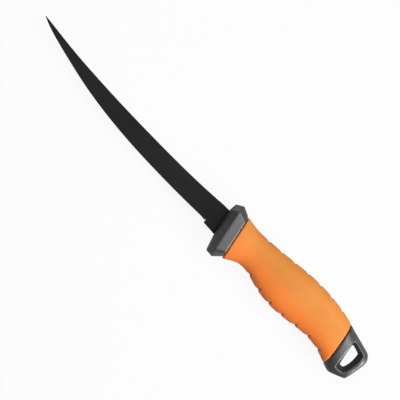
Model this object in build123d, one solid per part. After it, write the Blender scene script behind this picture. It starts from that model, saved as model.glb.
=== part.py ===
from build123d import *
import math
import os

# A fillet knife: a coated blade with a hidden tang, a hard core with guard and lanyard loop, and a soft grip.
# It is modelled from the blade's tip: +X towards the butt, +Y towards the spine, Z from side to side.
# At the end it is moved so that the origin lies under the middle of the knife resting on its side.

# Blade, in millimetres
blade_length = 178.0          # tip to the front of the guard
blade_height = 15.6           # cutting edge to spine near the heel
blade_stock = 2.2             # thickness of the steel strip
edge_land = 0.3               # thickness left at the cutting edge
heel_height = 17.6            # square heel in front of the guard
heel_length = 7.2
heel_corner = 0.9             # rounding of the heel's lower corner
choil_radius = 0.7            # small nick between the cutting edge and the heel

# Tang, hidden in the handle
shoulder_depth = 8.0          # how far the full heel runs into the guard
tang_step = 1.6               # drop from the spine to the tang's upper edge
tang_setback = 5.0            # tang's end to the seam at the butt
tang_end_round = 4.0
lock_hole = 5.0               # diameter of the holes that the core's plastic fills
lock_hole_start = 14.0        # shoulders to the first hole
lock_hole_pitch = 30.0
lock_hole_count = 3

# Handle, from the front of the guard to the end of the loop
handle_length = 132.5
handle_height = 33.0          # grip at its swell, spine side to finger side
handle_thickness = 23.4       # grip at its swell, side to side
grip_wall = 3.0               # soft material over the core
core_wall = 1.2               # least plastic between the tang and the soft grip
rim_chamfer = 0.8             # eased ends of the soft grip
window_length = 6.0           # windows through the core that the soft grip fills

# Scallops across both narrow edges of the grip
scallop_count = 7
scallop_depth = 0.7           # on the finger side
scallop_top_depth = 0.55      # on the spine side
scallop_ramp = 2.4            # gentle side, towards the tip
scallop_wall = 1.2            # steep side, towards the butt
scallop_sweep = 14.5          # radius at which a scallop runs round the edge
scallop_arc = 150.0           # degrees that a cutter turns round the edge

# Guard
guard_length = 14.0           # front face to the seam with the grip
guard_height = 38.2           # along its lean
guard_thickness = 24.0
guard_lean = 15.0             # degrees that it leans towards the tip at its top
guard_edge_round = 0.6

# Butt with the lanyard loop
butt_lean = 13.0              # degrees that the seam with the grip leans
butt_root = 4.0               # how far the core's body runs into the butt
butt_top_corner = 9.0
butt_low_corner = 2.4
butt_edge_round = 1.2
slot_corner = 1.3
slot_mouth_height = 6.5       # mouth of the lanyard slot above the middle plane

overrun = 5.0                 # how far a cutting shape runs past what it cuts

# Blade stations: place along it, spine and cutting edge as shares of its height, and thickness
blade_station_shares = [
    (0.004, 0.000, -0.022, 0.25),
    (0.044, -0.021, -0.182, 0.40),
    (0.111, -0.063, -0.359, 0.50),
    (0.200, -0.101, -0.545, 0.58),
    (0.311, -0.106, -0.735, 0.66),
    (0.444, -0.080, -0.858, 0.76),
    (0.578, -0.021, -0.892, 0.86),
    (0.711, 0.059, -0.854, 0.95),
    (0.833, 0.165, -0.782, 1.00),
    (0.933, 0.287, -0.697, 1.00),
]
heel_spine_share = 0.330
guard_spine_share = 0.360     # spine where it enters the guard

# Handle stations: upper point, lower point and thickness, as shares of its length, height and thickness
handle_station_shares = [
    (0.041, 0.388, 0.113, -0.660, 0.97),
    (0.100, 0.353, 0.162, -0.520, 0.95),
    (0.160, 0.335, 0.210, -0.407, 0.89),
    (0.229, 0.360, 0.269, -0.384, 0.86),
    (0.304, 0.400, 0.343, -0.443, 0.90),
    (0.378, 0.448, 0.418, -0.486, 0.97),
    (0.458, 0.503, 0.492, -0.482, 1.00),
    (0.542, 0.544, 0.567, -0.440, 0.99),
    (0.626, 0.557, 0.641, -0.380, 0.96),
    (0.706, 0.543, 0.711, -0.342, 0.92),
    (0.775, 0.508, 0.780, -0.355, 0.87),
    (0.840, 0.450, 0.845, -0.422, 0.79),
    (0.904, 0.398, 0.904, -0.486, 0.68),
    (0.969, 0.345, 0.964, -0.480, 0.58),
    (1.038, 0.289, 1.028, -0.430, 0.52),
]
section_roundness_share = 0.8  # 1 is an ellipse, less is squarer
section_widest_share = 0.56    # height of the widest line above the lower edge
section_points = 12
butt_seam_share = 0.838        # seam with the grip, on the level of the tip
scallop_top_shares = (0.195, 0.691)  # first and last scallop along the spine side's outline
scallop_low_shares = (0.210, 0.744)  # the same along the finger side's outline
scallop_cutter_share = 3.0     # size of a cutter, of the scallop that it cuts
window_height_share = 0.45     # of the core between the tang and the soft grip
top_window_stations = [5, 6, 7, 8, 9]
low_window_stations = [4, 5, 6, 7]

# Guard stations along its lean: distance, top, bottom and thickness, which flats then cut to 1
guard_station_shares = [
    (0.00, 0.170, -0.330, 0.34),
    (0.11, 0.312, -0.626, 0.66),
    (0.50, 0.392, -0.624, 1.03),
    (0.88, 0.340, -0.514, 1.03),
    (1.00, 0.302, -0.470, 0.94),
]
guard_shoulder_share = 0.12    # drop from the top to the side facet, of the height
guard_flat_share = 0.22        # where the side facet starts to turn in, above the bottom
guard_knee_share = 0.09        # a point of the curve below it
guard_knee_thick_share = 0.80
guard_top_thick_share = 0.40
guard_low_thick_share = 0.40

# Butt outline: two points outside the form, the loop's three corners and a last point outside
butt_outline_shares = [
    (0.780, 0.520),
    (1.006, 0.335),
    (0.986, -0.331),
    (0.907, -0.490),
    (0.780, -0.490),
]

# Slot corners at the middle plane and at the mouth: top front, top rear, bulge, low rear, low front
slot_waist_shares = [(0.889, 0.245), (0.948, 0.187), (0.955, -0.010), (0.947, -0.198), (0.922, -0.224)]
slot_mouth_shares = [(0.872, 0.339), (0.965, 0.271), (0.971, -0.010), (0.956, -0.290), (0.907, -0.315)]

# Places worked out from the sizes above
guard_front = blade_length
heel_front = blade_length - heel_length
edge_end = blade_height * blade_station_shares[-1][2]
spine_end = blade_height * guard_spine_share
butt_seam = handle_length * butt_seam_share
shoulder = guard_front + shoulder_depth
tang_end = guard_front + butt_seam - tang_setback
tang_top = spine_end - tang_step
narrowest_low = handle_height * max(station[3] for station in handle_station_shares)
tang_low = narrowest_low + grip_wall + core_wall


def handle_point(x_share, y_share, z=0):
    """A point of the handle from shares of its length and height."""
    return Vector(guard_front + handle_length * x_share, handle_height * y_share, z)


def lean_plane(distance, lean):
    """A plane across the knife, behind the guard's front, that leans towards the tip at its top."""
    turn = math.radians(lean)
    up = (-math.sin(turn), math.cos(turn), 0)
    along = (math.cos(turn), math.sin(turn), 0)
    return Plane(origin=(guard_front + distance, 0, 0), x_dir=up, z_dir=along)


def behind(distance, lean):
    """A block that holds all of the handle behind a leaning plane."""
    size = 2 * (handle_length + guard_height)
    return lean_plane(distance, lean) * Pos(0, 0, size / 2) * Box(size, size, size)


def blade_section(station, edge_thickness):
    """The blade's wedge at one station, from a full spine to a thin edge."""
    x_share, spine_share, edge_share, thick_share = station
    spine = blade_height * spine_share
    edge = blade_height * edge_share
    half = blade_stock / 2 * thick_share
    thin = min(edge_thickness / 2, half)
    corners = [(spine, half), (spine, -half), (edge, -thin), (edge, thin)]
    points = [(blade_length * x_share, y, z) for y, z in corners]
    return Face(Wire.make_polygon(points, close=True))


def make_plate():
    """The flat of the strip: the square heel, its shoulders in the guard and the tang."""
    spine = blade_height * heel_spine_share
    heel_low = spine - heel_height
    outline = [
        (heel_front, spine),
        (guard_front, spine_end),
        (shoulder, spine_end),
        (shoulder, tang_top),
        (tang_end, tang_top),
        (tang_end, tang_low),
        (shoulder, tang_low),
        (shoulder, heel_low),
        (heel_front, heel_low),
    ]
    plate = make_face(Polyline(outline, close=True))
    corner = plate.vertices().sort_by_distance((heel_front, heel_low, 0))[0]
    plate = fillet(corner, heel_corner)
    plate = fillet(plate.vertices().group_by(Axis.X)[-1], tang_end_round)
    for index in range(lock_hole_count):
        hole_x = shoulder + lock_hole_start + lock_hole_pitch * index
        plate -= Pos(hole_x, (tang_top + tang_low) / 2) * Circle(lock_hole / 2)
    return extrude(plate, blade_stock / 2, both=True)


def make_blade():
    """The ground blade, its run-out to full thickness, the heel and the tang, in one piece of steel."""
    ground = loft([blade_section(station, edge_land) for station in blade_station_shares])
    last = blade_station_shares[-1]
    heel = (heel_front / blade_length, heel_spine_share, last[2], 1)
    run_out = loft([blade_section(last, edge_land), blade_section(heel, blade_stock)], ruled=True)
    nick = Pos(heel_front, edge_end, 0) * Cylinder(choil_radius, blade_stock + overrun)
    return ground + run_out + make_plate() - nick


def section_ring(station, inset):
    """Points round the handle at one station, in the plane through its upper and lower points."""
    top_x, top_y, low_x, low_y, thick = station
    top = handle_point(top_x, top_y)
    low = handle_point(low_x, low_y)
    up = (top - low).normalized()
    top = top - up * inset
    low = low + up * inset
    widest = low + (top - low) * section_widest_share
    half = handle_thickness / 2 * thick - inset
    points = []
    for step in range(section_points):
        angle = math.tau * step / section_points
        rise = math.copysign(abs(math.sin(angle)) ** section_roundness_share, math.sin(angle))
        side = math.copysign(abs(math.cos(angle)) ** section_roundness_share, math.cos(angle))
        reach = top - widest if rise > 0 else widest - low
        centre = widest + reach * rise
        points.append((centre.X, centre.Y, half * side))
    return points


def make_form():
    """The handle's smooth outer form through all its stations."""
    rings = [Edge.make_spline(section_ring(station, 0), periodic=True) for station in handle_station_shares]
    return loft([Face(Wire([ring])) for ring in rings])


def guard_section(station):
    """One faceted outline of the guard: flat top, corner facets, flat sides, and curves to the finger side."""
    along_share, top_share, low_share, thick_share = station
    top = guard_height * top_share
    low = guard_height * low_share
    height = top - low
    half = guard_thickness / 2 * thick_share
    upper = top - height * guard_shoulder_share
    lower = low + height * guard_flat_share
    knee = low + height * guard_knee_share
    crown = half * guard_top_thick_share
    bend = half * guard_knee_thick_share
    toe = half * guard_low_thick_share
    outline = [
        Line((top, -crown), (top, crown)),
        Line((top, crown), (upper, half)),
        Line((upper, half), (lower, half)),
        ThreePointArc((lower, half), (knee, bend), (low, toe)),
        Line((low, toe), (low, -toe)),
        ThreePointArc((low, -toe), (knee, -bend), (lower, -half)),
        Line((lower, -half), (upper, -half)),
        Line((upper, -half), (top, -crown)),
    ]
    return lean_plane(guard_length * along_share, guard_lean) * make_face(outline)


def make_guard():
    """The faceted guard, with flat sides, eased edges and a finger stop below the blade."""
    size = 2 * (handle_length + guard_height)
    flats = Pos(guard_front, 0, 0) * Box(size, size, guard_thickness)
    guard = loft([guard_section(station) for station in guard_station_shares], ruled=True) & flats
    seam = lean_plane(guard_length, guard_lean)
    rim = [edge for edge in guard.edges() if abs(seam.to_local_coords(edge.center()).Z) < guard_edge_round]
    return fillet([edge for edge in guard.edges() if not any(edge.is_same(kept) for kept in rim)], guard_edge_round)


def slot_face(corner_shares, z):
    """The lanyard slot's outline at one height, with a bowed rear side and rounded corners."""
    top_front, top_rear, bulge, low_rear, low_front = [handle_point(x, y, z) for x, y in corner_shares]
    rim = [
        Line(low_front, top_front),
        Line(top_front, top_rear),
        ThreePointArc(top_rear, bulge, low_rear),
        Line(low_rear, low_front),
    ]
    face = make_face(rim)
    return fillet(face.vertices(), slot_corner)


def make_slot():
    """The lanyard slot's space, narrow in the middle plane and flared to both sides."""
    waist = slot_face(slot_waist_shares, 0)
    mouth = slot_face(slot_mouth_shares, slot_mouth_height)
    upper = loft([waist, mouth]) + extrude(mouth, handle_thickness, dir=(0, 0, 1))
    return upper + mirror(upper, Plane.XY)


def make_butt(form):
    """The butt: the form behind the seam, cut to the loop's rounded end."""
    corners = [handle_point(x, y) for x, y in butt_outline_shares]
    plate = make_face(Polyline(corners, close=True))
    plate = fillet(plate.vertices().sort_by_distance(corners[1])[0], butt_top_corner)
    plate = fillet(plate.vertices().sort_by_distance(corners[2])[0], butt_low_corner)
    block = extrude(plate, handle_thickness, both=True)
    butt = form & block & behind(butt_seam, butt_lean)
    seam = butt.faces().filter_by(GeomType.PLANE).sort_by(Axis.X)[0]
    rim = seam.edges()
    rounded = [edge for edge in butt.edges() if not any(edge.is_same(kept) for kept in rim)]
    return fillet(rounded, butt_edge_round)


def window(outline, tang_edge, side):
    """A window through the core, half way between the tang and the soft grip above or below it."""
    inner = outline.Y - side * grip_wall
    height = abs(inner - tang_edge) * window_height_share
    return Pos(outline.X, (inner + tang_edge) / 2, 0) * Box(window_length, height, handle_thickness)


def make_windows():
    """The windows above and below the tang, one at each chosen station."""
    windows = []
    for index in top_window_stations:
        windows.append(window(handle_point(*handle_station_shares[index][:2]), tang_top, 1))
    for index in low_window_stations:
        windows.append(window(handle_point(*handle_station_shares[index][2:4]), tang_low, -1))
    return windows


def make_core_body():
    """The core's many-sided body under the grip, through every second station, with its windows."""
    rings = [section_ring(station, grip_wall) for station in handle_station_shares[::2]]
    body = loft([Face(Wire.make_polygon(ring, close=True)) for ring in rings])
    body = body - behind(butt_seam + butt_root, butt_lean)
    return body - make_windows()


def scallop_cutter(outline, place_share, side, depth):
    """A ring with a lopsided V section that cuts one scallop across a narrow edge."""
    centre = outline.position_at(place_share)
    along = outline.tangent_at(place_share)
    out = Vector(-along.Y, along.X) * side
    apex = centre - out * depth
    ramp = centre - along * scallop_ramp
    wall = centre + along * scallop_wall
    profile = Face(Wire.make_polygon([
        apex,
        apex + (ramp - apex) * scallop_cutter_share,
        apex + (wall - apex) * scallop_cutter_share,
    ], close=True))
    axis = Axis(apex - out * scallop_sweep, along)
    return revolve(profile.rotate(axis, -scallop_arc / 2), axis, scallop_arc)


def scallop_row(outline, row_shares, side, depth):
    """Evenly spaced cutters along one outline of the grip."""
    first, last = row_shares
    step = (last - first) / (scallop_count - 1)
    return [scallop_cutter(outline, first + step * index, side, depth) for index in range(scallop_count)]


def make_grip(form, body):
    """The soft grip: the form between the seams with eased rims, scalloped, and moulded round the core."""
    outer = form & behind(guard_length, guard_lean)
    outer = outer - behind(butt_seam, butt_lean)
    outer = chamfer(outer.faces().filter_by(GeomType.PLANE).edges(), rim_chamfer)
    top_line = Spline([handle_point(*station[:2]) for station in handle_station_shares])
    low_line = Spline([handle_point(*station[2:4]) for station in handle_station_shares])
    top_cutters = scallop_row(top_line, scallop_top_shares, 1, scallop_top_depth)
    low_cutters = scallop_row(low_line, scallop_low_shares, -1, scallop_depth)
    return outer - top_cutters - low_cutters - body


def make_core(form, body, blade):
    """The hard core: guard, body and butt in one moulding, with the lanyard slot, moulded round the tang."""
    return make_guard() + body + make_butt(form) - make_slot() - blade


def build_knife():
    """The three pieces, with the origin under the middle of the knife lying on its side."""
    blade = make_blade()
    form = make_form()
    body = make_core_body()
    pieces = {
        "blade": blade,
        "handle_core": make_core(form, body, blade),
        "soft_grip": make_grip(form, body),
    }
    whole = Compound(children=[piece.solid() for piece in pieces.values()]).bounding_box()
    middle = whole.center()
    return {name: Pos(-middle.X, -middle.Y, -whole.min.Z) * piece for name, piece in pieces.items()}


os.makedirs("parts", exist_ok=True)
for name, piece in build_knife().items():
    export_step(piece, f"parts/{name}.step")
    print(name, "volume", round(piece.volume), "size", piece.bounding_box().size)
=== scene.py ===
import math

import bpy
import numpy as np
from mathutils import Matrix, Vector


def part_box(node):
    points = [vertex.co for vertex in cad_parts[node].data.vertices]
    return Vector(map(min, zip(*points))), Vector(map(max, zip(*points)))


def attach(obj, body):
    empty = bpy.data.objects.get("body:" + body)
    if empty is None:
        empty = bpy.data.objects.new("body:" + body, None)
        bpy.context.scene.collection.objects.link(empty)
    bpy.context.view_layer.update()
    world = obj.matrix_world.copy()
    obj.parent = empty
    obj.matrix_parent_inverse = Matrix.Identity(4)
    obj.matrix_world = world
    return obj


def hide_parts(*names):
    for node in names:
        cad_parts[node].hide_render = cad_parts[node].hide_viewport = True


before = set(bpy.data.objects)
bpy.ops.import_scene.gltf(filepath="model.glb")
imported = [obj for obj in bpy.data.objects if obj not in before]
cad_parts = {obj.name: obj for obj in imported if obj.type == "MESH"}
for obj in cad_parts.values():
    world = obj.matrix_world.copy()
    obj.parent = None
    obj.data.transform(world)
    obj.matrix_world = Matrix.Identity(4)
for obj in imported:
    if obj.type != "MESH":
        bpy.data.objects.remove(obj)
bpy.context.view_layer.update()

mm = 0.001
fullTurn = 2 * math.pi
quarterTurn = math.pi / 2
tiny = 1e-9                   # keeps a division from failing where two points meet

# Sizes are in millimetres from the blade's tip, +X to the butt and +Y to the spine, as the part's
# source has them. placeOnFrame carries them to the frame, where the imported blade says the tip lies.


def rising(values, low, high):
    # 0 below low, 1 above high, straight between them
    return np.clip((values - low) / (high - low), 0, 1)


def bowedThrough(start, middle, end, t):
    # The parabola from start to end that passes a middle point halfway
    return (1 - t) * (1 - 2 * t) * start + 4 * t * (1 - t) * middle + t * (2 * t - 1) * end


def pulledTo(start, corner, end, t):
    # The parabola from start to end that leaves and arrives in line with a corner
    return (1 - t) ** 2 * start + 2 * t * (1 - t) * corner + t ** 2 * end


def evenSpline(values, where):
    # Natural cubic through evenly spaced rows: the bends solve one linear system, then each span is
    # its two ends shared out by t plus the two bends, weighted by t cubed less t
    count = len(values)
    system = np.eye(count)
    inner = np.arange(1, count - 1)
    system[inner, inner - 1] = 1
    system[inner, inner] = 4
    system[inner, inner + 1] = 1
    pull = np.zeros_like(values)
    pull[1:-1] = 6 * (values[:-2] - 2 * values[1:-1] + values[2:])
    bends = np.linalg.solve(system, pull)
    span = np.clip(np.floor(where).astype(int), 0, count - 2)
    t = (where - span)[..., None]
    ends = (1 - t) * values[span] + t * values[span + 1]
    return ends + (((1 - t) ** 3 - (1 - t)) * bends[span] + (t ** 3 - t) * bends[span + 1]) / 6


def addPiece(name, vertices, faces, node, slotName):
    # A mesh from arrays of vertices and faces, turned outwards by the sign of its volume, riding on
    # the body and standing for its node
    triangles = np.concatenate([faces[:, [0, 1, 2]], faces[:, [0, 2, 3]]])
    a, b, c = [vertices[triangles[:, k]] for k in range(3)]
    if np.einsum("ij,ij->i", a, np.cross(b, c)).sum() < 0:
        faces = faces[:, ::-1]
    # A fan's quads have one corner twice, so they become triangles
    corners = [list(dict.fromkeys(face)) for face in faces.tolist()]
    mesh = bpy.data.meshes.new(name)
    mesh.from_pydata(placeOnFrame(vertices).tolist(), [], corners)
    mesh.update()
    mesh.shade_smooth()
    piece = bpy.data.objects.new(name, mesh)
    bpy.context.scene.collection.objects.link(piece)
    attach(piece, "root")
    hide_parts(node)
    print(name, len(mesh.vertices), "vertices", len(mesh.polygons), "faces")
    return piece


def pointNormals(piece):
    # The way that each point of a piece faces, one row per point
    normals = np.empty(3 * len(piece.data.vertices), np.float32)
    piece.data.vertices.foreach_get("normal", normals)
    return normals.reshape(-1, 3)


def addShade(piece, paintedShade):
    # How much painted shade each point gets, which the finishes turn into a darker colour and, on the
    # plastic, more roughness
    attribute = piece.data.attributes.new("paintedShade", "FLOAT", "POINT")
    attribute.data.foreach_set("value", paintedShade.ravel())
    return piece


def ringFaces(rows, columns, closedRows):
    # Quads of a grid of rows whose columns run round a ring
    index = np.arange(rows * columns).reshape(rows, columns)
    if closedRows:
        index = np.concatenate([index, index[:1]])
    index = np.concatenate([index, index[:, :1]], axis=1)
    corners = [index[:-1, :-1], index[1:, :-1], index[1:, 1:], index[:-1, 1:]]
    return np.stack(corners, -1).reshape(-1, 4)


def tubeMesh(grid):
    # Rings one after another, whose first and last are closed by a fan to their middle
    rows, columns = grid.shape[:2]
    start, end = rows * columns, rows * columns + 1
    ring = np.arange(columns)
    following = np.roll(ring, -1)
    last = (rows - 1) * columns
    startFan = np.stack([np.full(columns, start), ring, following, following], -1)
    endFan = np.stack([np.full(columns, end), last + following, last + ring, last + ring], -1)
    middles = np.stack([grid[0].mean(axis=0), grid[-1].mean(axis=0)])
    vertices = np.concatenate([grid.reshape(-1, 3), middles])
    return vertices, np.concatenate([ringFaces(rows, columns, False), startFan, endFan])


def easeCorners(points, reach, closed, steps=4, mostShare=0.33, flatStep=1.4):
    # Swaps each row for a short parabola between points a little way along its two neighbours, but
    # never more than a share of the way. One more point on each flat, a step further out, keeps the
    # flats flat in the light
    if closed:
        here, before, after = points, np.roll(points, 1, axis=0), np.roll(points, -1, axis=0)
    else:
        here, before, after = points[1:-1], points[:-2], points[2:]
    start, end = before - here, after - here
    for way in (start, end):
        length = np.maximum(np.linalg.norm(way, axis=-1, keepdims=True), tiny)
        way *= np.minimum(reach / length, mostShare)
    t = np.linspace(0, 1, steps + 1).reshape(-1, 1, *([1] * (points.ndim - 1)))
    curve = here + (1 - t) ** 2 * start + t ** 2 * end
    rows = np.concatenate([(here + flatStep * start)[None], curve, (here + flatStep * end)[None]])
    rows = np.swapaxes(rows, 0, 1).reshape(-1, *points.shape[1:])
    return rows if closed else np.concatenate([points[:1], rows, points[-1:]])


# The smallest class that lets a material be written as sums: a wrapped socket and its signs
class Value:
    def __init__(self, finish, socket):
        self.finish, self.socket = finish, socket

    def combine(self, operation, first, second):
        return self.finish.node("Math", {"operation": operation}, {0: first, 1: second})["Value"]

    def __add__(self, other):
        return self.combine("ADD", self, other)

    __radd__ = __add__

    def __mul__(self, other):
        return self.combine("MULTIPLY", self, other)

    __rmul__ = __mul__

    def __sub__(self, other):
        return self.combine("SUBTRACT", self, other)

    def __rsub__(self, other):
        return self.combine("SUBTRACT", other, self)


class Finish:
    # A material or a world, whose nodes all come from one method
    def __init__(self, owner):
        owner.use_nodes = True
        self.owner, self.tree = owner, owner.node_tree
        self.tree.nodes.clear()

    def node(self, kind, settings=None, inputs=None):
        made = self.tree.nodes.new("ShaderNode" + kind)
        for key, value in (settings or {}).items():
            setattr(made, key, value)
        for key, value in (inputs or {}).items():
            free = [s for s in made.inputs if s.enabled]
            socket = free[key] if isinstance(key, int) else next(s for s in free if s.name == key)
            if isinstance(value, Value):
                self.tree.links.new(value.socket, socket)
            else:
                socket.default_value = value
        return {out.name: Value(self, out) for out in made.outputs if out.enabled}

    def coordinates(self):
        return self.node("TexCoord")["Object"]

    def paintedShade(self):
        # The painted shade that the pieces carry in their points
        return self.node("Attribute", {"attribute_name": "paintedShade"})["Fac"]

    def noise(self, where, scale, detail, rough):
        values = {"Vector": where, "Scale": scale, "Detail": detail, "Roughness": rough}
        made = self.node("TexNoise", {}, values)
        return made["Factor"] if "Factor" in made else made["Fac"]

    def between(self, value, low, high):
        # 0 below low, 1 above high, and smooth between them
        values = {"Value": value, "From Min": low, "From Max": high}
        return self.node("MapRange", {"interpolation_type": "SMOOTHSTEP"}, values)["Result"]

    def blend(self, factor, first, second):
        values = {"Factor": factor, "A": first, "B": second}
        return self.node("Mix", {"data_type": "RGBA"}, values)["Result"]

    def rays(self):
        # Which rays come straight from the camera, and which by a reflection or through glass
        path = self.node("LightPath")
        return path["Is Camera Ray"], path["Is Glossy Ray"] + path["Is Transmission Ray"]

    def finish(self, surface, output="OutputMaterial"):
        self.node(output, {}, {"Surface": surface})
        return self.owner


def rgb(red, green, blue):
    # A colour as a picture gives it, 0 to 255, as the shader wants it
    shares = np.array([red, green, blue]) / 255
    linear = np.where(shares <= 0.04045, shares / 12.92, ((shares + 0.055) / 1.055) ** 2.4)
    return (*linear.tolist(), 1.0)


# Blade

blade = {
    "length": 178.0,
    "height": 15.6,
    "stock": 2.2,             # thickness of the strip
    "edgeLand": 0.3,          # thickness where the ground cheeks end
    "mostLand": 0.8,          # and the most that it takes of the blade's thickness there
    "edgeBevel": 0.55,        # height of the sharpened edge below them
    "mostBevel": 0.2,         # and the most that it takes of the blade's height there
    "bevelLoss": 0.6,         # how much of that height is gone at the heel
    "edgeTip": 0.05,          # thickness left at the very edge
    "spineEase": 0.22,
    "heelHeight": 17.6,
    "heelLength": 7.2,
    "heelCorner": 0.9,
    "heelSpine": 0.330,       # spine at the heel and at the guard, as shares of the height
    "guardSpine": 0.360,
    "nick": 0.7,              # radius of the nick between edge and heel
    "hiddenDepth": 6.0,       # how far the blade runs on inside the guard
    "cheekShares": (0, 0.3, 0.6, 0.85),    # points of a cheek on its way from spine to bevel
    "rows": 150,
    "runRows": 8,
    "nickRows": 9,
    "cornerRows": 7,
}

# Place along the blade, spine, edge and thickness, as shares of its length, height and stock
bladeStations = np.array([
    (0.004, 0.000, -0.022, 0.25),
    (0.044, -0.021, -0.182, 0.40),
    (0.111, -0.063, -0.359, 0.50),
    (0.200, -0.101, -0.545, 0.58),
    (0.311, -0.106, -0.735, 0.66),
    (0.444, -0.080, -0.858, 0.76),
    (0.578, -0.021, -0.892, 0.86),
    (0.711, 0.059, -0.854, 0.95),
    (0.833, 0.165, -0.782, 1.00),
    (0.933, 0.287, -0.697, 1.00),
])

bladeLow, bladeHigh = [np.array(corner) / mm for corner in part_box("blade")]
tipPlace = np.array([
    bladeLow[0] - blade["length"] * bladeStations[0, 0],
    bladeHigh[1] - blade["height"] * blade["guardSpine"],
    (bladeLow[2] + bladeHigh[2]) / 2,
])
print("frame loaded, tip at", np.round(tipPlace, 3))


def placeOnFrame(points):
    # From the tip in millimetres to the frame in metres
    return (points + tipPlace) * mm


def makeBlade():
    # Slices across the blade from tip to guard. Each is a spine flat, two ground cheeks and a
    # sharpened edge; towards the heel the cheeks fill out to the strip's full thickness
    place = np.linspace(0, len(bladeStations) - 1, blade["rows"])
    row = evenSpline(bladeStations, place)
    x = row[:, 0] * blade["length"]
    spine, edge = row[:, 1] * blade["height"], row[:, 2] * blade["height"]
    full = blade["stock"] / 2
    half = full * row[:, 3]
    land = np.minimum(blade["edgeLand"] / 2, half * blade["mostLand"])
    bevel = np.minimum(blade["edgeBevel"], (spine - edge) * blade["mostBevel"])

    # Lower points behind the ground part: the run-out, the nick as a quarter circle, the heel's
    # front with its rounded corner, and its lower side on into the guard
    heelX = blade["length"] - blade["heelLength"]
    heelSpine, guardSpine = [blade["height"] * blade[name] for name in ("heelSpine", "guardSpine")]
    heelLow = heelSpine - blade["heelHeight"]
    nick, corner = blade["nick"], blade["heelCorner"]
    run = np.linspace(x[-1], heelX - nick, blade["runRows"])[1:]
    arc = np.linspace(math.pi, quarterTurn, blade["nickRows"])[1:]
    turn = np.linspace(0, quarterTurn, blade["cornerRows"])
    endX = np.array([blade["length"], blade["length"] + blade["hiddenDepth"]])
    heelFront = heelX + corner * (1 - np.cos(turn))
    lowX = np.concatenate([x, run, heelX + nick * np.cos(arc), heelFront, endX])
    lowY = np.concatenate([edge, edge[-1] + 0 * run, edge[-1] + nick * np.sin(arc),
                           heelLow + corner * (1 - np.sin(turn)), heelLow + 0 * endX])

    # Upper points, one to each lower one
    after = len(lowX) - len(x)
    overRun = np.linspace(x[-1], heelX, blade["runRows"] + 1)[1:]
    overHeel = np.linspace(heelX, blade["length"], after - len(overRun))[1:]
    topX = np.concatenate([x, overRun, overHeel, endX[1:]])
    topY = np.interp(topX, [x[-1], heelX, *endX], [spine[-1], heelSpine, guardSpine, guardSpine])
    topY[:len(x)] = spine

    # Half thicknesses at spine, bevel and edge, and the bevel's height
    fill = np.maximum.accumulate(np.append(0 * x, rising(lowX[len(x):], x[-1], heelX)))
    tail = np.ones(after)
    atSpine = np.append(half, full * tail)
    atBevel = np.append(land, land[-1] * tail)
    atBevel = atBevel + (full - atBevel) * fill
    atEdge = blade["edgeTip"] / 2
    atEdge = atEdge + (full - atEdge) * fill
    bevelHeight = np.append(bevel, bevel[-1] * tail) * (1 - blade["bevelLoss"] * fill)

    share = np.array(blade["cheekShares"])
    high, low = np.stack([topX, topY], -1), np.stack([lowX, lowY], -1)
    drop = np.linalg.norm(high - low, axis=-1)
    cheekEnd = low + (high - low) * (bevelHeight / drop)[:, None]
    cheek = high[:, None] + (cheekEnd - high)[:, None] * share[:, None]
    thick = atSpine[:, None] + (atBevel - atSpine)[:, None] * share
    flat = np.concatenate([cheek, cheekEnd[:, None], low[:, None]], axis=1)
    side = np.concatenate([thick, atBevel[:, None], atEdge[:, None]], axis=1)
    right = np.concatenate([flat, side[..., None]], axis=-1)
    left = right[:, ::-1] * np.array([1, 1, -1])
    lattice = np.concatenate([right, left], axis=1)
    grid = easeCorners(np.swapaxes(lattice, 0, 1), blade["spineEase"], True, steps=3)
    return addPiece("bladeSteel", *tubeMesh(np.swapaxes(grid, 0, 1)), "blade", "blade_coating")


# The handle's form, which the grip, the core and the butt share

handle = {
    "length": 132.5,
    "height": 33.0,
    "thickness": 23.4,
    "roundness": 0.8,         # 1 is an ellipse, less is squarer
    "widest": 0.56,           # share of the height at which the oval is widest
    "frontSeam": 13.15,       # where the guard meets the grip
    "frontLean": 15.0,
    "rearSeam": 111.035,      # where the grip meets the butt
    "rearLean": 13.0,
    "stationStep": 8.8,       # rough distance from station to station
    "searchSteps": 6,         # steps that find the station line through a point
    "samples": 281,           # places along the form at which its seams are looked for
}

# Upper point, lower point and thickness, as shares of the handle's length, height and thickness
handleStations = np.array([
    (0.041, 0.388, 0.113, -0.660, 0.97),
    (0.100, 0.353, 0.162, -0.520, 0.95),
    (0.160, 0.335, 0.210, -0.407, 0.89),
    (0.229, 0.360, 0.269, -0.384, 0.86),
    (0.304, 0.400, 0.343, -0.443, 0.90),
    (0.378, 0.448, 0.418, -0.486, 0.97),
    (0.458, 0.503, 0.492, -0.482, 1.00),
    (0.542, 0.544, 0.567, -0.440, 0.99),
    (0.626, 0.557, 0.641, -0.380, 0.96),
    (0.706, 0.543, 0.711, -0.342, 0.92),
    (0.775, 0.508, 0.780, -0.355, 0.87),
    (0.840, 0.450, 0.845, -0.422, 0.79),
    (0.904, 0.398, 0.904, -0.486, 0.68),
    (0.969, 0.345, 0.964, -0.480, 0.58),
    (1.038, 0.289, 1.028, -0.430, 0.52),
])
lastPlace = len(handleStations) - 1


def handleSpan(place, inset):
    # Upper point, lower point and half thickness of the handle at a place along its stations, all
    # drawn in by the inset
    row = evenSpline(handleStations, place)
    size = np.array([handle["length"], handle["height"]])
    front = np.array([blade["length"], 0])
    top, low = front + row[..., 0:2] * size, front + row[..., 2:4] * size
    up = (top - low) / np.linalg.norm(top - low, axis=-1, keepdims=True)
    drawn = up * np.asarray(inset)[..., None]
    return top - drawn, low + drawn, handle["thickness"] / 2 * row[..., 4] - inset


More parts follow.
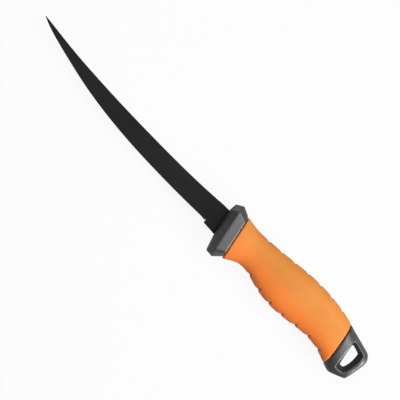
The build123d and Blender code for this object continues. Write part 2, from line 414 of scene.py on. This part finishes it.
def handleSkin(place, angle, inset):
    # A squarish oval round the handle: powers of the angle's sine and cosine give the rise above
    # the widest line and the reach to the side
    top, low, half = handleSpan(place, inset)
    widest = low + (top - low) * handle["widest"]
    rise = np.sign(np.sin(angle)) * np.abs(np.sin(angle)) ** handle["roundness"]
    side = np.sign(np.cos(angle)) * np.abs(np.cos(angle)) ** handle["roundness"]
    reach = np.where((rise > 0)[..., None], top - widest, widest - low)
    flat = widest + reach * rise[..., None]
    return np.concatenate([flat, (half * side)[..., None]], axis=-1)


def behindSeam(points, distance, lean):
    # How far points lie behind a plane across the knife that leans towards the tip at its top
    turn = math.radians(lean)
    along = points[..., 0] - blade["length"] - distance
    return along * math.cos(turn) + points[..., 1] * math.sin(turn)


def crossing(distances, places):
    # Where each column of distances passes zero, by the straight line between its two neighbours
    after = np.clip((distances < 0).sum(axis=0), 1, len(places) - 1)
    column = np.arange(distances.shape[1])
    low, high = distances[after - 1, column], distances[after, column]
    return places[after - 1] - low / (high - low) * (places[after] - places[after - 1])


def seamPlaces(angle, inset, inside):
    # Where the lines along a skin cross the planes of the two seams, both moved inwards
    places = np.linspace(0, lastPlace, handle["samples"])
    lines = handleSkin(*np.broadcast_arrays(places[:, None], angle, inset))
    front = behindSeam(lines, handle["frontSeam"] + inside, handle["frontLean"])
    rear = behindSeam(lines, handle["rearSeam"] - inside, handle["rearLean"])
    return crossing(front, places), crossing(rear, places)


def halfThickness(flat):
    # Half thickness of the handle's form over a point of its middle plane: a few steps find the
    # station line through the point, then the oval gives the reach to the side at that rise
    stationX = blade["length"] + handle["length"] * handleStations[:, 0]
    place = np.interp(flat[..., 0], stationX, np.arange(lastPlace + 1))
    for step in range(handle["searchSteps"]):
        top, low, half = handleSpan(place, np.zeros_like(place))
        line = top - low
        share = ((flat - low) * line).sum(axis=-1) / (line ** 2).sum(axis=-1)
        miss = flat[..., 0] - (low[..., 0] + share * line[..., 0])
        place = np.clip(place + miss / handle["stationStep"], 0, lastPlace)
    widest = handle["widest"]
    rise = np.where(share > widest, (share - widest) / (1 - widest), (widest - share) / widest)
    power = 2 / handle["roundness"]
    return half * (1 - np.clip(rise, 0, 1) ** power) ** (1 / power)


# Soft grip

grip = {
    "wall": 3.0,              # thickness over the core
    "gap": 0.35,              # fine joint left at each end
    "rimRound": 1.3,
    "columns": 180,
    "rows": 400,
    "innerRows": 60,
    "rimRows": 8,
    "faceRows": 5,
}
scallop = {
    "count": 7,
    "spineDepth": 0.6,
    "fingerDepth": 0.8,
    "ramp": 2.4,              # gentle side, towards the tip
    "wall": 1.2,              # steep side, towards the butt
    "spineSweep": 24.0,       # radius at which it runs round the edge
    "fingerSweep": 14.5,
    "softness": 0.06,
    "bedRound": 0.2,          # rounding of the line where ramp and wall meet
    "spineShade": 0.25,       # how dark the painted shade makes the steep walls
    "fingerShade": 0.8,
    "shadeLead": 0.4,         # how far before the bed that the painted shade starts
    "cutterReach": 3.0,       # how far the cutting ring reaches along the edge, in ramps and walls
    "spineRow": (0.236, 0.7325),      # first and last along the handle
    "fingerRow": (0.2912, 0.7926),
    "samples": 400,           # places along each edge that its slope is read from
}


def carveScallop(points, centre, along, out, depth, sweep):
    # Draws what stands outside a ring back to it. The ring's axis runs along the edge inside the
    # handle, and its radius grows to both sides of the scallop, slowly on the ramp, fast on the
    # wall. The second result is how deep the wall is cut at each point, as a share, which becomes its
    # painted shade
    before, behind = scallop["ramp"], scallop["wall"]
    offset = points - (centre - out * (depth + sweep))
    travel = offset @ along
    spoke = offset - travel[..., None] * along
    radius = np.linalg.norm(spoke, axis=-1)
    slope = np.where(travel < 0, depth / before, depth / behind)
    bedRound = scallop["bedRound"]
    bed = sweep + (np.sqrt(travel ** 2 + bedRound ** 2) - bedRound) * slope
    soft = np.sqrt((radius - bed) ** 2 + scallop["softness"] ** 2)
    reach = scallop["cutterReach"]
    reached = (travel > -before * reach) & (travel < behind * reach) & (spoke @ out > 0)
    cut = np.where(reached, (radius + bed - soft) / 2, radius)
    # Painted shade of the steep wall, by how deep it is cut
    paintedShade = np.where(travel > -scallop["shadeLead"], np.clip((radius - cut) / depth, 0, 1), 0)
    return points + spoke * (cut / radius - 1)[..., None], paintedShade


def carveScallops(points):
    # Scallops along the spine side and the finger side, evenly spaced, each square to its edge, with
    # the painted shade of their steep walls
    places = np.linspace(0, lastPlace, scallop["samples"])
    top, low = handleSpan(places, np.zeros(len(places)))[:2]
    grooveShade = np.zeros(points.shape[:-1])
    for line, edge, side in ((top, "spine", 1), (low, "finger", -1)):
        depth, sweep = scallop[edge + "Depth"], scallop[edge + "Sweep"]
        for share in np.linspace(*scallop[edge + "Row"], scallop["count"]):
            x = blade["length"] + handle["length"] * share
            slope = np.interp(x, line[:, 0], np.gradient(line[:, 1], line[:, 0]))
            along = np.array([1, slope, 0]) / math.hypot(1, slope)
            out = np.array([-along[1], along[0], 0]) * side
            centre = np.array([x, np.interp(x, line[:, 0], line[:, 1]), 0])
            points, paintedShade = carveScallop(points, centre, along, out, depth, sweep)
            grooveShade = np.maximum(grooveShade, paintedShade * scallop[edge + "Shade"])
    return points, grooveShade


def makeGrip():
    # Rings round the handle from seam to seam: out over the rounded front rim, along the scalloped
    # skin, in over the rear rim, then back along the core to the first ring. The scallops' steep
    # walls get painted shade
    angle = np.linspace(0, fullTurn, grip["columns"], endpoint=False)
    first, last = seamPlaces(angle, 0.0, grip["gap"])
    length = handle["rearSeam"] - handle["frontSeam"]
    rim, wall = grip["rimRound"], grip["wall"]
    turn = np.linspace(0, quarterTurn, grip["rimRows"])
    rimShare = rim * (1 - np.cos(turn)) / length
    rimInset = rim * (1 - np.sin(turn))
    inner = np.linspace(rim / length, 1 - rim / length, grip["rows"])[1:-1]
    face = np.linspace(rim, wall, grip["faceRows"])[1:]
    back = np.linspace(1, 0, grip["innerRows"])[1:]
    faceBack = face[-2::-1]
    share = np.concatenate([rimShare, inner, 1 - rimShare[::-1], 1 + 0 * face, back, 0 * faceBack])
    inset = np.concatenate([rimInset, 0 * inner, rimInset[::-1], face, wall + 0 * back, faceBack])
    place = first + (last - first) * share[:, None]
    grid = handleSkin(*np.broadcast_arrays(place, angle, inset[:, None]))
    outside = len(share) - len(back) - len(faceBack)
    grooveShade = np.zeros(grid.shape[:2])
    grid[:outside], grooveShade[:outside] = carveScallops(grid[:outside])
    faces = ringFaces(*grid.shape[:2], True)
    piece = addPiece("gripSkin", grid.reshape(-1, 3), faces, "soft_grip", "soft_rubber")
    return addShade(piece, grooveShade)


# Hard core: the body under the grip, the guard and the butt

core = {
    "root": 4.0,              # how far it runs into the guard and the butt
    "rows": 40,
    "columns": 48,
}


def makeCoreBody():
    # Rings round the handle, drawn in by the grip's wall, from inside the guard to inside the butt
    angle = np.linspace(0, fullTurn, core["columns"], endpoint=False)
    first, last = seamPlaces(angle, grip["wall"], -core["root"])
    place = first + (last - first) * np.linspace(0, 1, core["rows"])[:, None]
    grid = handleSkin(*np.broadcast_arrays(place, angle, grip["wall"]))
    return addPiece("coreBody", *tubeMesh(grid), "handle_core", "hard_plastic")


guard = {
    "length": 13.15,
    "height": 38.18,          # along its lean
    "thickness": 24.0,
    "edgeEase": 0.7,
    "shoulder": 0.12,         # drop from the top to the side facet
    "flat": 0.15,             # where the side facet starts to turn in, above the bottom
    "knee": 0.07,
    "kneeThick": 0.85,
    "topThick": 0.40,
    "lowThick": 0.40,
    "bowRows": 9,
    "shoulderShade": 0.8,     # how dark and matt the painted shade makes the upper facets, the lower side and the front
    "bellyShade": 0.8,
    "noseShade": 0.8,
    "shoulderFacing": (0.4, 0.7),     # how far a point faces there for none and all of that
    "bellyFacing": (0.3, 0.8),
    "noseFacing": (0.72, 0.87),
}

# Distance along its lean, top, bottom and thickness, and how far the sides lead the crest in mm
guardStations = np.array([
    (0.000, 0.170, -0.330, 0.34, 0.0),
    (0.118, 0.312, -0.626, 0.66, 0.0),
    (0.522, 0.392, -0.626, 1.00, 0.9),
    (0.925, 0.330, -0.502, 0.94, 0.0),
    (1.000, 0.302, -0.470, 0.91, 0.0),
])


def makeGuard():
    # Outlines of flats and one bowed stretch, each side of the middle, joined straight from station
    # to station; then every corner is eased, first along the guard and then round it. Painted shade
    # follows the way that each point faces: it darkens and roughens the upper facets, the lower side
    # and the front
    along, top, low, thick, lead = guardStations.T
    along, top, low = along * guard["length"], top * guard["height"], low * guard["height"]
    half = guard["thickness"] / 2 * thick
    height = top - low
    crest = np.stack([top, half * guard["topThick"]])
    shoulder = np.stack([top - height * guard["shoulder"], half])
    start = np.stack([low + height * guard["flat"], half])
    middle = np.stack([low + height * guard["knee"], half * guard["kneeThick"]])
    end = np.stack([low, half * guard["lowThick"]])
    t = np.linspace(0, 1, guard["bowRows"])[1:-1, None, None]
    right = np.stack([crest, shoulder, start, *bowedThrough(start, middle, end, t), end])
    left = right[::-1] * np.array([1, -1])[:, None]
    rise, side = np.moveaxis(np.concatenate([right, left]), 1, 0).swapaxes(1, 2)
    lean = math.radians(handle["frontLean"])
    sideShare = (np.abs(side) / half[:, None] - guard["topThick"]) / (1 - guard["topThick"])
    x = blade["length"] + along[:, None] - rise * math.sin(lean) - lead[:, None] * sideShare
    lattice = np.stack([x, rise * math.cos(lean), side], -1)
    front, rear = [np.broadcast_to(row.mean(axis=0), row.shape) for row in lattice[[0, -1]]]
    lattice = np.concatenate([front[None], lattice, rear[None]])
    grid = easeCorners(lattice, guard["edgeEase"], False)
    grid = easeCorners(np.swapaxes(grid, 0, 1), guard["edgeEase"], True)
    grid = np.swapaxes(grid, 0, 1)[1:-1]
    piece = addPiece("guardBlock", *tubeMesh(grid), "handle_core", "hard_plastic")
    normals = pointNormals(piece)
    forwards, upwards = -normals[:, 0], normals[:, 1]
    return addShade(piece, np.max([
        rising(upwards, *guard["shoulderFacing"]) * guard["shoulderShade"],
        rising(-upwards, *guard["bellyFacing"]) * guard["bellyShade"],
        rising(forwards, *guard["noseFacing"]) * guard["noseShade"],
    ], axis=0))


butt = {
    "topCorner": 9.0,
    "lowCorner": 2.4,
    "sharp": 0.01,            # radius of the corners that stay sharp
    "edgeRound": 1.2,
    "rearRound": 1.9,         # the same behind the slot
    "rearReach": (127.0, 130.0),      # where it starts to grow, and where it is reached
    "seamRound": 1.7,
    "slotCorners": (1.3, 1.3, 1.3, 1.3),      # low front, top front, top rear and low rear
    "mouthCorners": (1.6, 1.3, 1.6, 3.2),
    "lip": 1.2,               # rounding of the slot's mouth
    "rearLip": 1.7,           # the same at the rear, where the loop is a round bar
    "rearBearing": (0.3, 0.8),        # how far a slice points rearwards for none and all of that
    "rearSlope": 0.34,        # how fast the sides draw in behind the slot
    "slopeStart": 129.4,
    "slopeSoft": 0.8,
    "edgeWidth": 1.3,         # width of the edge's rows, in roundings
    "edgeShare": 0.6,         # and the most that they take of the side
    "crown": 0.02,            # bow of the narrow walls, so that they close smoothly in the middle
    "slotShade": 0.85,        # how dark and matt the painted shade makes the slot's walls and the two narrow sides
    "bellyShade": 0.65,
    "spineShade": 0.65,
    "bellyFacing": (0.2, 0.7),        # how far a point faces there for none and all of that
    "spineFacing": (0.6, 0.9),
    "seamHeading": 0.05,      # least that a slice has to head for the seam to end there
    "formStart": 9,           # first station that the butt's outline is taken from
    "formSamples": 200,
    "columns": 300,
    "bowRows": 9,
    "flareRows": 8,
    "lipRows": 7,
    "sideRows": 16,
    "edgeRows": 12,
    "wallRows": 7,
}
# Shares of the handle's length and height. The slot's points are top front, top rear, the middle
# of the rear, low rear and low front, in the middle plane and at its mouth
buttOutline = np.array([
    (0.780, 0.520), (1.0055, 0.335), (0.986, -0.331), (0.907, -0.490), (0.780, -0.490)])
slotWaist = np.array([
    (0.889, 0.245), (0.944, 0.191), (0.950, -0.010), (0.943, -0.198), (0.922, -0.224)])
slotMouth = np.array([
    (0.873, 0.309), (0.960, 0.243), (0.968, -0.010), (0.954, -0.290), (0.905, -0.315)])


def handlePoint(shares):
    # A point of the middle plane from its shares of the handle's length and height
    return np.array([blade["length"], 0]) + shares * np.array([handle["length"], handle["height"]])


def roundedLoop(corners, radii, steps=12):
    # A closed outline with a parabola for each corner, which starts and ends where an arc of the
    # radius would
    before, after = [np.roll(corners, step, axis=0) - corners for step in (1, -1)]
    before /= np.linalg.norm(before, axis=1, keepdims=True)
    after /= np.linalg.norm(after, axis=1, keepdims=True)
    opening = np.arccos(np.clip((before * after).sum(axis=1), -1, 1))
    reach = (np.asarray(radii) / np.tan(opening / 2))[:, None]
    t = np.linspace(0, 1, steps)[:, None, None]
    loop = corners + (1 - t) ** 2 * before * reach + t ** 2 * after * reach
    return np.swapaxes(loop, 0, 1).reshape(-1, 2)


def slotLoop(shares, radii):
    # The slot's outline: four rounded corners, with the rear side bowed through its middle point
    topFront, topRear, bulge, lowRear, lowFront = handlePoint(shares)
    t = np.linspace(0, 1, butt["bowRows"])[:, None]
    rear = bowedThrough(topRear, bulge, lowRear, t)
    corners = np.concatenate([[lowFront, topFront], rear])
    sharp = np.full(len(rear) - 2, butt["sharp"])
    return roundedLoop(corners, np.concatenate([radii[:3], sharp, radii[3:]]))


def reachOf(loop, centre, angle, samples=3000):
    # How far a closed outline lies from a point inside it, in each direction
    dense = np.concatenate([loop, loop[:1]])
    step = np.linspace(0, len(loop), samples)
    x, y = [np.interp(step, np.arange(len(dense)), dense[:, k]) - centre[k] for k in range(2)]
    bearing = np.arctan2(y, x) % fullTurn
    order = np.argsort(bearing)
    return np.interp(angle, bearing[order], np.hypot(x, y)[order], period=fullTurn)


def reachOfSeam(centre, ray):
    # How far each ray runs to the rear seam, and without end where it doesn't head there
    turn = math.radians(handle["rearLean"])
    heading = -(ray[:, 0] * math.cos(turn) + ray[:, 1] * math.sin(turn))
    away = behindSeam(centre, handle["rearSeam"], handle["rearLean"])
    least = butt["seamHeading"]
    return np.where(heading > least, away / np.maximum(heading, least), math.inf)


def gapTo(loop, points):
    # How far each point lies from the nearest stretch of a closed outline
    along = np.roll(loop, -1, axis=0) - loop
    offset = points[..., None, :] - loop
    share = (offset * along).sum(axis=-1) / np.maximum((along ** 2).sum(axis=-1), tiny)
    foot = offset - np.clip(share, 0, 1)[..., None] * along
    return np.linalg.norm(foot, axis=-1).min(axis=-1)


def roundDrop(inside, radius):
    # How far a rounded edge falls below the surface, this far inside the outline
    left = np.clip(radius - inside, 0, radius)
    return radius - np.sqrt(radius ** 2 - left ** 2)


def buttHeight(flat, plateLoop):
    # Half thickness of the butt: that of the form, less the slope behind the slot, less the rounded
    # edges at the outline and at the seam
    fromGuard = flat[..., 0] - blade["length"]
    past = fromGuard - butt["slopeStart"]
    sloped = butt["rearSlope"] * (past + np.sqrt(past ** 2 + butt["slopeSoft"] ** 2)) / 2
    grown = rising(fromGuard, *butt["rearReach"])
    edgeRound = butt["edgeRound"] + (butt["rearRound"] - butt["edgeRound"]) * grown
    atEdge = roundDrop(gapTo(plateLoop, flat), edgeRound)
    atSeam = roundDrop(behindSeam(flat, handle["rearSeam"], handle["rearLean"]), butt["seamRound"])
    return np.maximum(halfThickness(flat) - sloped - atEdge - atSeam, 0)


def makeButt():
    # Round the slot, each slice goes from the waist up the flare to the lip, out over the form's
    # side to the rounded outer edge and down the wall to the middle plane; the lower half mirrors
    # it. Painted shade darkens the slot's walls, fading over the lip, and the two narrow sides
    angle = np.linspace(0, fullTurn, butt["columns"], endpoint=False)
    ray = np.stack([np.cos(angle), np.sin(angle)], -1)
    waistLoop = slotLoop(slotWaist, butt["slotCorners"])
    mouthLoop = slotLoop(slotMouth, butt["mouthCorners"])
    sharp = butt["sharp"]
    plateRadii = [sharp, butt["topCorner"], butt["lowCorner"], sharp, sharp]
    plateLoop = roundedLoop(handlePoint(buttOutline), plateRadii)
    formPlaces = np.linspace(butt["formStart"], lastPlace, butt["formSamples"])
    top, low = handleSpan(formPlaces, np.zeros(len(formPlaces)))[:2]
    formLoop = np.concatenate([top, low[::-1]])
    centre = waistLoop.mean(axis=0)
    waist, mouth, plate, form = [
        reachOf(loop, centre, angle) for loop in (waistLoop, mouthLoop, plateLoop, formLoop)]
    outer = np.minimum(np.minimum(plate, form), reachOfSeam(centre, ray))

    def onPlane(radius):
        return centre + ray * radius[..., None]

    lipGrown = rising(np.cos(angle), *butt["rearBearing"])
    lip = butt["lip"] + (butt["rearLip"] - butt["lip"]) * lipGrown
    lipRadius = mouth + lip
    lipHeight = buttHeight(onPlane(lipRadius), plateLoop)
    crest = buttHeight(onPlane(mouth), plateLoop)
    flareTop = np.maximum(crest - lip, 0)
    rise = np.linspace(0, 1, butt["flareRows"])[:, None]
    flareRadius = waist + (mouth - waist) * rise * flareTop / crest
    flareHeight = flareTop * rise
    t = np.linspace(0, 1, butt["lipRows"])[1:-1, None]
    overLipRadius = pulledTo(flareRadius[-1], mouth, lipRadius, t)
    overLipHeight = pulledTo(flareHeight[-1], crest, lipHeight, t)
    span = outer - lipRadius
    crown = butt["crown"]
    edge = np.minimum(butt["rearRound"] * butt["edgeWidth"], span * butt["edgeShare"])
    sideShare = np.linspace(0, 1, butt["sideRows"])[:-1, None]
    edgeTurn = np.linspace(0, quarterTurn, butt["edgeRows"])[:, None]
    sideRadius = np.concatenate([
        lipRadius + (span - edge) * sideShare,
        outer - crown - (edge - crown) * (1 - np.sin(edgeTurn)),
    ])
    sideHeight = buttHeight(onPlane(sideRadius), plateLoop)
    wallTurn = np.linspace(0, quarterTurn, butt["wallRows"])[1:-1, None]
    wallRadius = outer - crown * (1 - np.sin(wallTurn))
    wallHeight = sideHeight[-1] * np.cos(wallTurn)
    radius = np.concatenate([flareRadius, overLipRadius, sideRadius, wallRadius, outer[None]])
    height = np.concatenate([flareHeight, overLipHeight, sideHeight, wallHeight, 0 * outer[None]])
    slotWallShade = np.zeros(len(radius))
    slotWallShade[:len(rise)] = 1
    slotWallShade[len(rise):len(rise) + len(t)] = (1 - t[:, 0]) ** 2
    radius = np.concatenate([radius, radius[-2:0:-1]])
    height = np.concatenate([height, -height[-2:0:-1]])
    slotWallShade = np.concatenate([slotWallShade, slotWallShade[-2:0:-1]]) * butt["slotShade"]
    grid = np.concatenate([onPlane(radius), height[..., None]], axis=-1)
    faces = ringFaces(*grid.shape[:2], True)
    piece = addPiece("buttLoop", grid.reshape(-1, 3), faces, "handle_core", "hard_plastic")
    upwards = pointNormals(piece)[:, 1]
    return addShade(piece, np.max([
        np.repeat(slotWallShade, len(angle)),
        rising(-upwards, *butt["bellyFacing"]) * butt["bellyShade"],
        rising(upwards, *butt["spineFacing"]) * butt["spineShade"],
    ], axis=0))


# Finishes. A noise is its scale, detail and roughness; a colour is as a picture gives it

rubber = {
    "shadedFingerSide": ((255, 134, 55), (251, 129, 51)),    # the two colours of the mottle, painted redder as the rubber looks in shade
    # the spine side's two, painted yellower as the rubber looks in light
    "litSpineSide": ((225, 141, 59), (220, 136, 55)),
    "sideTurn": (-0.012, 0.010),      # metres across the knife where the shaded finger side's painted colours turn to the lit spine side's
    "mottle": (60.0, 3.0, 0.5),
    "mottleTurn": (0.35, 0.65),
    # painted shade colour of the scallops' steep walls
    "shaded": (146, 50, 16),
    "grain": (2600.0, 2.0, 0.6),
    "rough": 0.6,
    "roughSwing": 0.10,
    "bump": 0.18,
    "bumpDepth": 0.0002,
    "specular": 0.30,
}
plastic = {
    "colours": ((61, 61, 60), (57, 57, 56)),
    "mottle": (90.0, 2.0, 0.5),
    "mottleTurn": (0.3, 0.7),
    # painted shade colour
    "shaded": (20, 20, 20),
    "shadeRough": 0.35,       # what full painted shade adds to the roughness
    "grain": (1800.0, 3.0, 0.6),
    "rough": 0.36,
    "roughSwing": 0.08,
    "bump": 0.25,
    "bumpDepth": 0.0002,
    "specular": 1.0,
}
coating = {
    "colours": ((32, 32, 31), (28, 28, 27)),
    "mottle": (40.0, 3.0, 0.5),
    "mottleTurn": (0.3, 0.7),
    "grain": (3000.0, 3.0, 0.6),
    "rough": 0.62,
    "roughSwing": 0.16,
    "bump": 0.2,
    "bumpDepth": 0.0001,
    "specular": 0.16,
}


def mottled(paint, where, look, light, deep):
    # Soft patches of two colours
    patches = paint.between(paint.noise(where, *look["mottle"]), *look["mottleTurn"])
    return paint.blend(patches, light, deep)


def grained(paint, where, look, base, paintedShade=None):
    # A colour with a fine grain that swings the roughness about its middle and stands up in bumps
    grain = paint.noise(where, *look["grain"])
    rough = look["rough"] + look["roughSwing"] * (grain - 0.5)
    if paintedShade is not None:
        rough = rough + paintedShade * look["shadeRough"]
    bump = paint.node("Bump", {}, {
        "Strength": look["bump"], "Distance": look["bumpDepth"], "Height": grain})["Normal"]
    surface = paint.node("BsdfPrincipled", {}, {
        "Base Color": base, "Roughness": rough, "Normal": bump,
        "Specular IOR Level": look["specular"]})
    return paint.finish(surface["BSDF"])


def rubberFinish():
    # Both colours of the mottle turn from the finger side's to the spine side's: painted redder where
    # the finger side lies in shade, yellower where the spine side is lit
    paint = Finish(bpy.data.materials.new("gripRubber"))
    where = paint.coordinates()
    across = paint.node("SeparateXYZ", {}, {"Vector": where})["Y"]
    litSpineSide = paint.between(across, *rubber["sideTurn"])
    light, deep = [paint.blend(litSpineSide, rgb(*finger), rgb(*spine))
                   for finger, spine in zip(rubber["shadedFingerSide"], rubber["litSpineSide"])]
    base = mottled(paint, where, rubber, light, deep)
    # The scallops' steep walls take the painted shade colour
    base = paint.blend(paint.paintedShade(), base, rgb(*rubber["shaded"]))
    return grained(paint, where, rubber, base)


def plasticFinish():
    # Places with painted shade are darker and rougher
    paint = Finish(bpy.data.materials.new("corePlastic"))
    where = paint.coordinates()
    paintedShade = paint.paintedShade()
    base = mottled(paint, where, plastic, *[rgb(*colour) for colour in plastic["colours"]])
    base = paint.blend(paintedShade, base, rgb(*plastic["shaded"]))
    return grained(paint, where, plastic, base, paintedShade)


def coatingFinish():
    # Satin black, a little uneven
    paint = Finish(bpy.data.materials.new("bladeCoating"))
    where = paint.coordinates()
    base = mottled(paint, where, coating, *[rgb(*colour) for colour in coating["colours"]])
    return grained(paint, where, coating, base)


pieces = [makeGrip(), makeCoreBody(), makeGuard(), makeButt(), makeBlade()]
gripRubber, corePlastic, bladeCoating = rubberFinish(), plasticFinish(), coatingFinish()
finishes = [gripRubber, corePlastic, corePlastic, corePlastic, bladeCoating]
for piece, material in zip(pieces, finishes):
    piece.data.materials.append(material)
print("pieces made")


# Floor, light and camera

studio = {
    "floorReach": 8.0,        # metres
    "floorGrey": 0.7,         # its own colour, which carries the object's shadow
    "floorGlow": 0.92,        # share of plain white that it shows to the camera, the rest its shade
    "mirroredShare": 0.4,     # of that white, in reflections, where the object shades the floor
    "sky": 0.03,
    "backdropGlow": 0.95,     # the world as the camera sees it
    "mirroredSky": 0.03,      # and what reflections see of it, over the sky's own light
    "cameraPlace": (0.0030, -0.0021, 0.562),
    "cameraTurn": 48.5,
    "lens": 75.3,
    "sensor": 36,
}
# Place in metres, size in metres and power in watts of each soft box
softBoxes = {
    "keyBox": ((0.35, 0.40, 0.85), 0.6, 5.3),      # above, behind the spine
    "buttBox": ((0.95, 0.10, 0.50), 0.5, 8.6),     # low, beyond the butt
    "tipBox": ((-0.50, 0.10, 0.90), 0.6, 3.6),     # above, towards the tip
}
white = (1, 1, 1, 1)


def makeFloor():
    # White to the camera, with a share of its matt colour so that the object's shadow shows
    reach = studio["floorReach"]
    corners = [(-reach, -reach, 0), (reach, -reach, 0), (reach, reach, 0), (-reach, reach, 0)]
    mesh = bpy.data.meshes.new("floor")
    mesh.from_pydata(corners, [], [(0, 1, 2, 3)])
    floor = bpy.data.objects.new("floor", mesh)
    bpy.context.scene.collection.objects.link(floor)
    paint = Finish(bpy.data.materials.new("floorPaper"))
    direct, mirrored = paint.rays()
    seen = direct + mirrored * studio["mirroredShare"]
    grey = studio["floorGrey"]
    matt = paint.node("BsdfDiffuse", {}, {"Color": (grey, grey, grey, 1)})["BSDF"]
    glow = paint.node("Emission", {}, {"Color": white, "Strength": 1.0})["Emission"]
    surface = paint.node("MixShader", {}, {0: seen * studio["floorGlow"], 1: matt, 2: glow})
    mesh.materials.append(paint.finish(surface["Shader"]))


def makeLight():
    # A weak even sky and three soft boxes that face the object
    paint = Finish(bpy.data.worlds.new("studioSky"))
    direct, mirrored = paint.rays()
    strength = studio["sky"] + direct * (studio["backdropGlow"] - studio["sky"])
    strength = strength + mirrored * studio["mirroredSky"]
    sky = paint.node("Background", {}, {"Color": white, "Strength": strength})["Background"]
    bpy.context.scene.world = paint.finish(sky, "OutputWorld")
    for name, (place, size, power) in softBoxes.items():
        lamp = bpy.data.lights.new(name, "AREA")
        lamp.shape = "SQUARE"
        lamp.size = size
        lamp.energy = power
        x, y, z = place
        box = bpy.data.objects.new(name, lamp)
        box.location = place
        box.rotation_euler = (0, math.atan2(math.hypot(x, y), z), math.atan2(y, x))
        bpy.context.scene.collection.objects.link(box)


def makeCamera():
    # Straight above the knife, turned as the photograph has it
    data = bpy.data.cameras.new("camera")
    data.sensor_width = studio["sensor"]
    data.lens = studio["lens"]
    camera = bpy.data.objects.new("camera", data)
    camera.location = studio["cameraPlace"]
    camera.rotation_euler = (0, 0, math.radians(studio["cameraTurn"]))
    bpy.context.scene.collection.objects.link(camera)
    bpy.context.scene.camera = camera


makeFloor()
makeLight()
makeCamera()
bpy.context.scene.view_settings.view_transform = "Standard"
print("studio ready")
